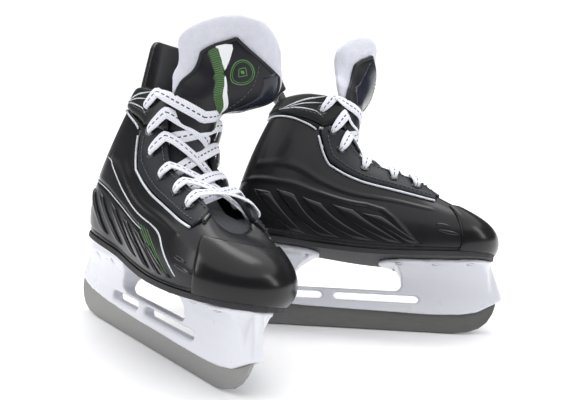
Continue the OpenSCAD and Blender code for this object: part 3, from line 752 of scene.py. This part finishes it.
# ---------- tongue ----------
# One thick felt tongue: black cloth under the lace, white felt above the collar, with a
# padded vinyl face sewn on its front and a rolled black binding round the face.
# its rows from toe to top: forward, up, width as a share of the widest, curl in degrees
TONGUE = np.array([
    (190, 106.5, .50, 42), (172, 117, .54, 44), (150, 128, .53, 48), (133, 140, .48, 58), (123, 153, .44, 72),
    (118, 172, .43, 78), (118, 190, .43, 78), (119, 204, .47, 72), (121, 211, .78, 54), (125, 222, .92, 46),
    (129, 239, 1, 42), (131, 253, .93, 42), (133, 267, .66, 42), (134.5, 279, .3, 42)])
tongue_wide = 98
tongue_turn = math.radians(16)
tongue_aside = 19
tongue_drape = 17
tongue_pinch = .20
TONGUE_SIDE = {"right": 1, "left": -1}


def tongue_row(i):
    i = np.clip(i, 0, len(TONGUE) - 1)
    k = np.minimum(len(TONGUE) - 2, np.floor(i).astype(int))
    return TONGUE[k] + (i - k)[..., None] * (TONGUE[k + 1] - TONGUE[k])


def soft_row(i):
    """The tongue's rows with their corners eased."""
    i = np.asarray(i, float)
    return (tongue_row(i - .45) + 2 * tongue_row(i - .2) + 2 * tongue_row(i) + 2 * tongue_row(i + .2)
            + tongue_row(i + .45)) / 8


def tongue_of(side):
    """A foot's tongue: row, share across and height off it to the skate's millimetres."""
    def tongue(i, share, h):
        i, share, h = np.broadcast_arrays(np.asarray(i, float), np.asarray(share, float), np.asarray(h, float))
        row = soft_row(i)
        way = unit(soft_row(i + .5)[..., :2] - soft_row(i - .5)[..., :2])
        curl = np.radians(row[..., 3])
        radius = row[..., 2] * tongue_wide / 2 / np.sin(curl) + h
        off = h - radius * (1 - np.cos(curl * share))
        y = radius * np.sin(curl * share)
        late = smooth((i - 7) / 3)
        turn = side * tongue_turn * late
        x = row[..., 0] + off * way[..., 1]
        z = row[..., 1] - off * way[..., 0]
        pinched = (side * share < 0) * smooth((i - 6.6) / 1.2) * (1 - smooth((i - 8.8) / 2.0))
        y = y * (1 - tongue_pinch * pinched)
        draped = smooth((i - 6.2) / 1.3) * (1 - smooth((i - 8.2) / 2.6)) * np.maximum(0, side * share) ** 1.3
        aside = side * (tongue_aside * late + tongue_drape * draped)
        return np.stack([x + y * np.sin(turn) + 4 * draped, y * np.cos(turn) + aside, z - 6 * draped], -1)
    return tongue


felt = Finish("felt", "felt", (0.66, 0.67, 0.75), 0.95, sheen=0.2, specular=0.2)
fuzz = felt.noise(2600, 5, rough=0.7)
felt.coloured(felt.mixed(felt.noise(160, 4) * 0.6 + fuzz * 0.4, (0.56, 0.57, 0.65), (0.76, 0.77, 0.84)))
felt.raised(fuzz + felt.noise(500, 3) * 1.2, 0.0005)
tongue_cloth = Finish("tongue_cloth", "tongue_fabric", (0.016, 0.017, 0.024), 0.8, sheen=0.2)
a, b = tongue_cloth.along()
weave = (a * 3200).wave() * (b * 3200).wave()
tongue_cloth.coloured(tongue_cloth.mixed(tongue_cloth.noise(80), (0.012, 0.013, 0.020), (0.026, 0.028, 0.040)))
tongue_cloth.raised(weave * 0.5 + tongue_cloth.noise(900, 3), 0.00022)
face_vinyl = Finish("face_vinyl", "face_vinyl", (0.010, 0.010, 0.013), 0.38, specular=0.3)
face_vinyl.coloured(face_vinyl.mixed(face_vinyl.noise(70, 3), (0.007, 0.007, 0.010), (0.016, 0.016, 0.021)))
face_vinyl.polished(0.32 + face_vinyl.noise(60, 3) * 0.16)
face_vinyl.raised(face_vinyl.cells(1300) * 0.8 + face_vinyl.noise(120, 2) * 0.5, 0.0001)
navy_gloss = Finish("navy_gloss", "face_vinyl", (0.012, 0.015, 0.026), 0.22, coat=0.15, specular=0.35)
navy_gloss.coloured(navy_gloss.mixed(navy_gloss.noise(70, 3), (0.008, 0.010, 0.018), (0.018, 0.022, 0.036)))
navy_gloss.polished(0.18 + navy_gloss.noise(55, 3) * 0.16)
navy_gloss.raised(navy_gloss.cells(1500) * 0.6, 0.00006)
printed_white = Finish("printed_white", "silver_trim", (0.80, 0.81, 0.84), 0.45)
printed_white.coloured(printed_white.mixed(printed_white.noise(500), (0.74, 0.75, 0.78), (0.86, 0.87, 0.90)))
printed_white.raised(printed_white.noise(1500), 0.00004)
ribbed_green = Finish("ribbed_green", "face_vinyl", (0.08, 0.26, 0.06), 0.5)
a, b = ribbed_green.along()
ridges_and_groove_shade = (a * (2 * math.pi / 0.0017)).wave() * 0.5 + 0.5
inner_part = b.size().under(0.0037)
# The colour follows the ridges: the grooves between them are painted dark green, painted shade over the bumped ridges,
# and the strip is plain dark green outside its ribbed middle.
ribbed_green.coloured(ribbed_green.mixed(ridges_and_groove_shade * inner_part, (0.018, 0.055, 0.016), (0.085, 0.205, 0.055)))
ribbed_green.raised(ridges_and_groove_shade, 0.0004)

FACE_LEFT = ([5, 7, 9, 10.1, 12], [-.85, -.83, -.71, -.64, -.5])
FACE_RIGHT = ([5, 8.8, 9.86, 12], [.92, .90, .76, .6])
FACE_TOP = ([0, .10, .26, 1], [10.1, 10.75, 11.4, 9.9])


def face_place(a, b):
    """Across and up the face, from 0 to 1 each, to the tongue's own row and share."""
    row = 5.2 + b * (np.interp(a, *FACE_TOP) - 5.2)
    left, right = np.interp(row, *FACE_LEFT), np.interp(row, *FACE_RIGHT)
    return row, left + a * (right - left)


for foot in FEET:
    side = TONGUE_SIDE[foot]
    tongue = tongue_of(side)
    fold_start = Vector(stand([(119, 0, 192)], foot)[0])
    fold_end = Vector(stand([(121, 0, 219)], foot)[0])
    across, through = superellipse(84, 5)
    rows = np.concatenate([np.linspace(0, 6.9, 60), np.linspace(7, 13, 110)])
    rings, flat = [], []
    for n, i in enumerate(rows):
        tip = (1 - ((i - 12.2) / .8) ** 2) ** .5 if 12.2 < i < 13 else (0.02 if i >= 13 else 1.0)
        narrow = 0.55 + .45 * tip if i > 12.2 else 1.0
        thick = 7.0 + 2 * float(smooth((i - 6.8) / 1.2))
        ends = 0.15 if n == 0 else max(tip, .04)
        h = -thick / 2 + thick / 2 * through * ends
        wave = 0.5 * math.sin(i * 2.3) * (np.abs(across) > .9) * (i > 8)
        rings.append(tongue(np.full(84, i), across * narrow, h + wave))
        flat.append(np.stack([np.full(84, i * 14.0), across * 40], -1))
    rings, flat = np.array(rings), np.array(flat)
    faces = rings_closed(rings)
    kinds = [1 if (n // 84) < 60 else 0 for n in range(len(faces) - 2)] + [1, 0]
    piece = sewn(f"{foot}_tongue", foot, rings, faces, [felt, tongue_cloth], flat=flat, kinds=kinds)
    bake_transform(piece)
    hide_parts(f"{foot}_tongue_base", f"{foot}_tongue_felt")

    # the cloth gusset that joins the tongue's toe end to the front of the throat
    front = over(np.linspace(-2.35, 2.35, 48), np.ones(48), np.full(48, -1.6))
    rear = tongue(np.full(48, 1.7), np.linspace(-1.02, 1.02, 48), np.full(48, -.4))
    rings = []
    for t in np.linspace(0, 1, 16):
        row = front + (rear - front) * t
        row = row + np.array([0, 0, 1]) * (2.2 * math.sin(math.pi * t) - .4)
        rings.append(np.concatenate([row, (row - np.array([0, 0, 1.8]))[::-1]]))
    rings = np.array(rings)
    gusset = sewn(f"{foot}_gusset", foot, rings, rings_closed(rings), tongue_cloth,
                  flat=np.broadcast_to(np.linspace(0, 60, 96)[None, :, None], (16, 96, 2)) * (1, .4))
    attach(gusset, "pair")

    # the padded face
    A, B = np.meshgrid(np.linspace(0, 1, 60), np.linspace(0, 1, 110), indexing="ij")
    ro, sh = face_place(A, B)
    edge = (np.maximum(0, 1 - np.abs(2 * A - 1) ** 12) ** .5) * (np.maximum(0, 1 - np.abs(2 * B - 1) ** 18) ** .5)
    top = tongue(ro, sh * side, 0.3 + 2.1 * edge + 0.5 * np.sin(A * math.pi) * edge)
    back = tongue(ro, sh * side, 0.1)
    m, k = A.shape
    points = np.concatenate([top.reshape(-1, 3), back.reshape(-1, 3)])
    faces = [(i * k + j, (i + 1) * k + j, (i + 1) * k + j + 1, i * k + j + 1)
             for i in range(m - 1) for j in range(k - 1)]
    faces += [tuple(x + m * k for x in reversed(f)) for f in faces]
    rim = [i * k for i in range(m)] + [(m - 1) * k + j for j in range(1, k)]
    rim += [i * k + k - 1 for i in range(m - 2, -1, -1)] + [j for j in range(k - 2, 0, -1)]
    after = rim[1:] + rim[:1]
    faces += [(q, p, p + m * k, q + m * k) for p, q in zip(rim, after)]
    face = sewn(f"{foot}_face", foot, points, facing_out(points, faces), face_vinyl)
    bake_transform(face)
    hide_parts(f"{foot}_tongue_face")

    def on_face(a, b, h):
        row, share = face_place(np.asarray(a, float), np.asarray(b, float))
        return tongue(row, share * side, np.asarray(h, float) + 2.4 + 0.5 * np.sin(np.asarray(a, float) * math.pi))

    def to_face(row, share):
        """The place across and up the face of a row and share of the tongue."""
        left, right = np.interp(row, *FACE_LEFT), np.interp(row, *FACE_RIGHT)
        a = (share - left) / (right - left)
        b = (row - 5.2) / (np.interp(a, *FACE_TOP) - 5.2)
        # the left tongue shows its inner half, with the print round its far side
        return (a, b) if side > 0 else (1 - .5 * a, b)

    edge_line = [(.01, .2), (.01, .5), (.01, .8), (.01, .99), (.05, 1), (.10, 1), (.18, 1), (.26, 1), (.5, 1), (.75, 1),
                 (.985, .995), (.99, .8), (.99, .5), (.99, .2)]
    binding = cord_on(edge_line, 1.7, -1.3, surface=on_face, curved=False)
    piece = joined(f"{foot}_face_binding", foot, [binding], facing_vinyl)
    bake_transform(piece)

    strip_line = ((10.5, -.50), (9.47, -.34), (8.63, -.13), (7.6, .14), (6.7, .42), (5.6, .68))
    strip, strip_flat = ribbon([to_face(*p) for p in strip_line], (9.5, 9, 8.5, 8, 7), 0.55,
                               surface=on_face, cols=10)
    piece = joined(f"{foot}_face_green", foot, [strip], ribbed_green, [strip_flat])
    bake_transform(piece)
    wedge, _ = ribbon([to_face(*p) for p in ((10.95, -.36), (10.5, -.31), (10.0, -.28), (9.62, -.25))],
                      (17, 12, 6, .8), 0.5, surface=on_face, cols=6)
    lower, _ = ribbon([to_face(*p) for p in ((9.4, -.22), (8.7, -.02), (7.8, .22), (7.1, .42), (6.4, .62))],
                      (1.6, 3.4, 5.2, 5.6, 2.4), 0.5, surface=on_face, cols=6)
    piece = joined(f"{foot}_face_white", foot, [wedge, lower], printed_white)
    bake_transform(piece)
    if side > 0:
        panel_line = [to_face(*p) for p in ((10.0, .50), (9.5, .58), (8.6, .64), (7.6, .72), (6.5, .78))]
    else:
        panel_line = [(.40, .97), (.40, .85), (.38, .6), (.36, .4), (.36, .25)]
    panel_wide = (15, 17, 15, 11, 7) if side > 0 else (20, 34, 34, 26, 18)
    panel, _ = ribbon(panel_line, panel_wide, 1.1, surface=on_face, cols=10)
    piece = joined(f"{foot}_face_side_panel", foot, [panel], navy_gloss)
    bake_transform(piece)

    # a plain ring badge with a diamond inside
    ca, cb = to_face(9.75, 0.03)
    c0 = on_face(ca, cb, 0)
    ga = (on_face(ca + .01, cb, 0) - c0) / .01
    gb = (on_face(ca, cb + .01, 0) - c0) / .01
    level = unit(ga)
    upward = unit(gb - np.dot(gb, level) * level)

    def badge(x, y):
        b = y / np.dot(gb, upward)
        return ca + (x - b * np.dot(gb, level)) / np.dot(ga, level), cb + b

    def hoop(r, thick, high, sides=72):
        return cord_on([badge(r * math.cos(t), r * math.sin(t)) for t in np.linspace(0, 2 * math.pi, sides)],
                       thick, high, surface=on_face, curved=False, every=1.0)

    badge_outer, badge_inner, diamond, centre = 10.5, 8.9, 4.6, 2.1
    lines = [hoop(badge_outer, .40, .05), hoop(badge_inner, .25, .05)]
    corners = [badge(diamond * math.cos(q * math.pi / 2), diamond * math.sin(q * math.pi / 2)) for q in range(5)]
    lines.append(cord_on(corners, .35, .05, surface=on_face, curved=False, every=.8))
    lines.append(ribbon([badge(-centre, 0), badge(0, 0), badge(centre, 0)], (.5, 3.4, .5), 0.25,
                        surface=on_face)[0])
    piece = joined(f"{foot}_badge", foot, lines, green)
    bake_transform(piece)
    seam_line = ((10.35, .24), (9.6, .27), (8.8, .31), (8.0, .38), (7.2, .48), (6.2, .62))
    rows = stitches([to_face(r, s) for r, s in seam_line], 0.1, surface=on_face)
    piece = joined(f"{foot}_face_thread", foot, rows, thread)
    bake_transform(piece)

# ---------- lace ----------
# One flat woven lace a foot, white with a dashed black tracer, criss-crossed through six
# pairs of eyelets and tucked in beside the tongue.
EYELETS = [(7.35, .91), (6.55, .87), (5.85, .86), (4.85, .88), (4.05, .87), (3.25, .86)]
lace_wide = 9.8
lace_thick = 1.8
lace_woven = Finish("lace_woven", "lace_fabric", (0.84, 0.85, 0.90), 0.85, sheen=0.3, specular=0.25)
a, b = lace_woven.along()
chevron = ((a * 2300 + (b.size() * 2300)).wave())
cross = (b * 4200).wave()
tracer = b.size().under(0.00055) * (a * 210).part().under(0.6)
whites = lace_woven.mixed(chevron * 0.5 + 0.5, (0.68, 0.69, 0.76), (0.80, 0.81, 0.87))
lace_woven.coloured(lace_woven.mixed(tracer, whites, (0.03, 0.03, 0.035)))
lace_woven.raised(chevron * 0.6 + cross * 0.3, 0.00013)


def flat_unit(a):
    return a / np.linalg.norm(a)


def at_net(u, v, h):
    return over(np.array(u), np.array(v), np.array(h))


def toeward(u, v):
    s = 0.02 * math.copysign(1, u)
    return flat_unit(skin(u - s, v) - skin(u + s, v))


def hole(k, side):
    return (side * EYELETS[k][0], EYELETS[k][1])


def out_of_hole(k, side):
    e = hole(k, side)
    w = toeward(*e)
    return [(at_net(*e, -4.3), 0, w), (at_net(*e, 3.6), 0, w), (at_net(e[0], e[1] + .04, 5.2), .5, w),
            (at_net(e[0], 1, 4.2), 1, w)]


def on_tongue(y, z):
    i = float(np.interp(z, TONGUE[:, 1], np.arange(len(TONGUE))))
    row = tongue_row(np.array(i))
    radius = row[2] * tongue_wide / 2 / math.sin(math.radians(row[3]))
    drop = radius - math.sqrt(max(1, radius * radius - y * y))
    way = flat_unit(tongue_row(np.array(i + 1.0))[:2] - tongue_row(np.array(max(0.0, i - 1)))[:2])
    return np.array([row[0] - drop * way[1], y, row[1] + drop * way[0]])


def crossing(ka, kb, side, least):
    a, b = hole(ka, side), hole(kb, -side)
    start = out_of_hole(ka, side)
    begin, to = start[3][0], at_net(b[0], 1, -4.7)
    up = flat_unit(outward(a[0], 1.0) + outward(b[0], 1.0))
    w = flat_unit(np.cross(up, (to - begin) * side))
    room = 4.2 if ka == 0 else 2.2
    over_tongue = []
    for t in (.2, .38, .56, .74, .88):
        p = begin + t * (to - begin)
        lift = max(least * math.sin(math.pi * t), float(np.dot(on_tongue(p[1], p[2]) - p, up)) + room)
        over_tongue.append((p + up * lift, 1, w))
    return start + over_tongue + [(to, 1, w), (at_net(b[0], b[1] + .03, -4.9), .5, toeward(*b))]


near, far = out_of_hole(5, 1), out_of_hole(5, -1)
ROUTE = [p for k in range(5) for p in crossing(k, k + 1, -1 if k % 2 == 0 else 1, 4)]
ROUTE += near + [((near[3][0] + far[3][0]) / 2 + (1.5, 0, 4), 1, np.array([1.0, 0, 0]))] + far[::-1]
ROUTE += [p for k in (4, 3, 2, 1, 0) for p in crossing(k, k + 1, 1 if k % 2 == 0 else -1, 2)[::-1]]
route = np.array([p[0] for p in ROUTE])
flatness = np.array([p[1] for p in ROUTE], float)
breadth = np.array([p[2] for p in ROUTE])
for i in range(1, len(breadth)):
    if np.dot(breadth[i], breadth[i - 1]) < 0 and np.dot(-breadth[i], breadth[i - 1]) > .3:
        breadth[i:] *= -1
steps = 9
smooth_route, smooth_flat, smooth_wide = [], [], []
for i in range(len(route) - 1):
    a, b, c, d = (route[max(0, min(len(route) - 1, i + k))] for k in (-1, 0, 1, 2))
    for s in range(steps):
        t = s / steps
        ab, cd = np.linalg.norm(b - a) + 1e-6, np.linalg.norm(c - b) + 1e-6
        m1, m2 = (c - a) * .5 * min(1, cd / ab), (d - b) * .5 * min(1, cd / (np.linalg.norm(d - c) + 1e-6))
        smooth_route.append((2 * t**3 - 3 * t**2 + 1) * b + (t**3 - 2 * t**2 + t) * m1 + (-2 * t**3 + 3 * t**2) * c
                            + (t**3 - t**2) * m2)
        smooth_flat.append(flatness[i] + t * (flatness[i + 1] - flatness[i]))
        smooth_wide.append(breadth[i] + t * (breadth[i + 1] - breadth[i]))
way = np.array(smooth_route)
calm = np.array(smooth_wide)
held = np.array(smooth_flat) < .97
for _ in range(40):
    eased = way.copy()
    eased[1:-1] = .25 * way[:-2] + .5 * way[1:-1] + .25 * way[2:]
    way = np.where(held[:, None], way, eased)
    turned = calm.copy()
    turned[1:-1] = .25 * calm[:-2] + .5 * calm[1:-1] + .25 * calm[2:]
    calm = turned
along_way = unit(np.gradient(way, axis=0))
wide_way = unit(calm)
up_way = unit(np.cross(along_way, wide_way))
side_way = np.cross(up_way, along_way)
length_way = np.concatenate([[0], np.cumsum(np.linalg.norm(np.diff(way, axis=0), axis=1))])
flat_way = np.array(smooth_flat)
c, s = superellipse(18, 3.0)
half_w = 2.3 + (lace_wide / 2 - 2.3) * flat_way ** 0.6
half_t = 1.6 + (lace_thick / 2 - 1.6) * flat_way
lace_rings = way[:, None] + half_w[:, None, None] * c[None, :, None] * side_way[:, None] + (
    half_t[:, None, None] * s[None, :, None] * up_way[:, None])
lace_flat = np.stack(np.broadcast_arrays(length_way[:, None], c[None, :] * lace_wide / 2), -1)
for foot in FEET:
    piece = joined(f"{foot}_flat_lace", foot, [lace_rings], lace_woven, [lace_flat])
    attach(piece, "pair")
    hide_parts(f"{foot}_lace")

# ---------- tendon guard ----------
# A stiff curved flap of black plastic behind the ankle, on a thin flexing strip.
guard_plastic = Finish("guard_plastic", "guard_plastic", (0.012, 0.012, 0.013), 0.38, coat=0.2)
guard_plastic.polished(0.30 + guard_plastic.noise(80, 3) * 0.18)
guard_plastic.raised(guard_plastic.noise(1600, 3), 0.00008)


def softened(node, name, finish, voxel, rounds):
    """A merged copy of a CAD node, skinned afresh so that its moulded edges are round."""
    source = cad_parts[node]
    piece = bpy.data.objects.new(name, source.data.copy())
    scene.collection.objects.link(piece)
    bpy.ops.object.select_all(action="DESELECT")
    bpy.context.view_layer.objects.active = piece
    piece.select_set(True)
    bpy.ops.object.mode_set(mode="EDIT")
    bpy.ops.mesh.select_all(action="SELECT")
    bpy.ops.mesh.remove_doubles(threshold=0.00002)
    bpy.ops.object.mode_set(mode="OBJECT")
    again = piece.modifiers.new("skin", "REMESH")
    again.mode, again.voxel_size, again.adaptivity = "VOXEL", voxel, 0
    ease = piece.modifiers.new("ease", "SMOOTH")
    ease.factor, ease.iterations = 0.5, rounds
    for made in (again.name, ease.name):
        bpy.ops.object.modifier_apply(modifier=made)
    piece.data.materials.clear()
    piece.data.materials.append(finish.material)
    piece.data.polygons.foreach_set("use_smooth", [True] * len(piece.data.polygons))
    piece.data.update()
    return piece


for foot in FEET:
    piece = softened(f"{foot}_tendon_guard", f"{foot}_guard_flap", guard_plastic, 0.0009, 6)
    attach(piece, f"{foot}_guard")
    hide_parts(f"{foot}_tendon_guard")

# ---------- holder ----------
# White moulded nylon holder: two flared towers joined by a slotted rail that grips the
# steel, riveted under the sole.
nylon = Finish("nylon", "holder_plastic", (0.84, 0.85, 0.89), 0.27, coat=0.3, coat_roughness=0.08)
nylon.coloured(nylon.mixed(nylon.noise(30, 4), (0.68, 0.69, 0.75), (0.74, 0.75, 0.80)))
nylon.polished(0.24 + nylon.noise(90, 4) * 0.10)
nylon.raised(nylon.noise(900, 2) * 0.6 + nylon.noise(120, 2), 0.00004)
for foot in FEET:
    piece = softened(f"{foot}_holder", f"{foot}_blade_holder", nylon, 0.00105, 14)
    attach(piece, "pair")
    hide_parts(f"{foot}_holder")

# ---------- runner and hardware ----------
# Ground stainless runner, its bolts and barrel nuts, and the rivets with their washers.
ground_steel = Finish("ground_steel", "runner_steel", (0.33, 0.33, 0.325), 0.34, metallic=1)
drawn = ground_steel.noise(60, 5, ground_steel.stretched((1, 12, 60)))
ground_steel.coloured(ground_steel.mixed(drawn, (0.24, 0.24, 0.235), (0.42, 0.42, 0.41)))
ground_steel.polished(0.28 + drawn * 0.2)
ground_steel.raised(drawn, 0.00004)
bright_steel = Finish("bright_steel", "rivet_steel", (0.62, 0.62, 0.64), 0.28, metallic=1)
spots = bright_steel.noise(700, 4)
bright_steel.coloured(bright_steel.mixed(spots, (0.50, 0.50, 0.52), (0.70, 0.70, 0.72)))
bright_steel.polished(0.2 + spots * 0.22)
bright_steel.raised(spots, 0.00004)
bolt_steel = Finish("bolt_steel", "hardware", (0.45, 0.45, 0.46), 0.33, metallic=1)
spots = bolt_steel.noise(800, 4)
bolt_steel.coloured(bolt_steel.mixed(spots, (0.36, 0.36, 0.37), (0.52, 0.52, 0.53)))
bolt_steel.polished(0.26 + spots * 0.22)
bolt_steel.raised(spots, 0.00004)
for foot in FEET:
    dressed(f"{foot}_runner", ground_steel)
    for node in ("rivets", "rivet_washers"):
        dressed(f"{foot}_{node}", bright_steel)
    for node in ("runner_bolts", "barrel_nuts"):
        dressed(f"{foot}_{node}", bolt_steel)

# ---------- sole, board and footbed ----------
# Moulded outsole cemented under the shell, the fibre board above it, and a loose
# cloth-covered foam footbed.
sole_rubber = Finish("sole_rubber", "sole_plastic", (0.06, 0.06, 0.062), 0.6, specular=0.25)
speck = sole_rubber.noise(500, 4)
sole_rubber.coloured(sole_rubber.mixed(speck, (0.028, 0.028, 0.030), (0.050, 0.050, 0.053)))
sole_rubber.polished(0.5 + speck * 0.2)
sole_rubber.raised(speck + sole_rubber.noise(1800, 3) * 0.6, 0.00015)
fibre = Finish("fibre", "board", (0.35, 0.30, 0.22), 0.85)
fibre.coloured(fibre.mixed(fibre.noise(900, 5, fibre.stretched((1, 4, 1))), (0.27, 0.22, 0.15), (0.42, 0.36, 0.27)))
fibre.raised(fibre.noise(1500, 4), 0.0002)
for foot in FEET:
    dressed(f"{foot}_outsole", sole_rubber)
    dressed(f"{foot}_insole_board", fibre)
    piece = softened(f"{foot}_footbed", f"{foot}_footbed_pad", liner_cloth, 0.0013, 6)
    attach(piece, "pair")
    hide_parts(f"{foot}_footbed")
